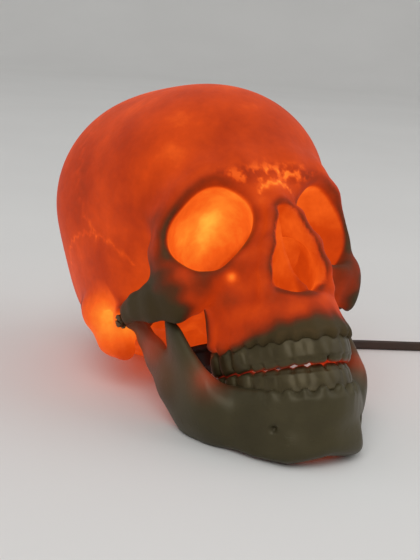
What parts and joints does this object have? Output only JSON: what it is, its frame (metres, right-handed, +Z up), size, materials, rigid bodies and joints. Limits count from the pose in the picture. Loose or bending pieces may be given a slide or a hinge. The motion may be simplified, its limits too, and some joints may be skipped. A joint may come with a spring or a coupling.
{
  "type": "halloween skull decoration",
  "caption": "Life-size hollow skull lamp with a hinged jaw, separate rows of teeth, a bulb in its base and a flat cord with switch and plug.",
  "frame": {"origin": "on the floor, under the middle of the skull's bounding box", "axes": "+Z up, the face looks along -Y, the skull's left side is +X"},
  "size_m": [0.3593, 0.2438, 0.1565],
  "materials": {
    "shell": "satin",
    "jaw": "satin",
    "teeth": "satin",
    "screw": "brushed",
    "spring": "brushed",
    "fitting": "gloss",
    "contact": "brushed",
    "bulb_metal": "satin",
    "insulator": "gloss",
    "bulb_glass": "gloss",
    "bulb_stem": "gloss",
    "filament": "satin",
    "cord": "satin",
    "roller": "satin"
  },
  "bodies": {
    "skull": {"cranium": "shell", "upper_teeth": "teeth", "jaw_screw_left": "screw", "jaw_screw_right": "screw", "jaw_washer_left": "screw", "jaw_washer_right": "screw", "lamp_foot": "fitting", "cord_gland": "cord", "retaining_clip_left": "spring", "retaining_clip_right": "spring", "holder_ring": "fitting", "lampholder": "fitting", "screw_shell": "contact", "centre_contact": "contact", "bulb_tip": "bulb_metal", "bulb_insulator": "insulator", "bulb_cap": "bulb_metal", "bulb_glass": "bulb_glass", "bulb_stem": "bulb_stem", "bulb_filament": "filament", "cord_lead": "cord", "switch_lower": "cord", "switch_upper": "cord", "switch_screw_1": "screw", "switch_screw_2": "screw", "cord_coil": "cord", "cord_tie": "fitting", "plug_body": "cord", "plug_blade_left": "contact", "plug_blade_right": "contact"},
    "jaw": {"mandible": "jaw", "lower_teeth": "teeth"},
    "roller": {"switch_roller": "roller"}
  },
  "joints": [
    {"name": "jaw_hinge", "type": "hinge", "parent": "skull", "child": "jaw", "pos_m": [0, -0.00271, 0.04104], "axis": [1, 0, 0], "range_deg": [0, 20]},
    {"name": "roller_spin", "type": "hinge", "parent": "skull", "child": "roller", "pos_m": [0.20721, 0.00185, 0.0056], "axis": [0, 0, 1], "continuous": true}
  ]
}
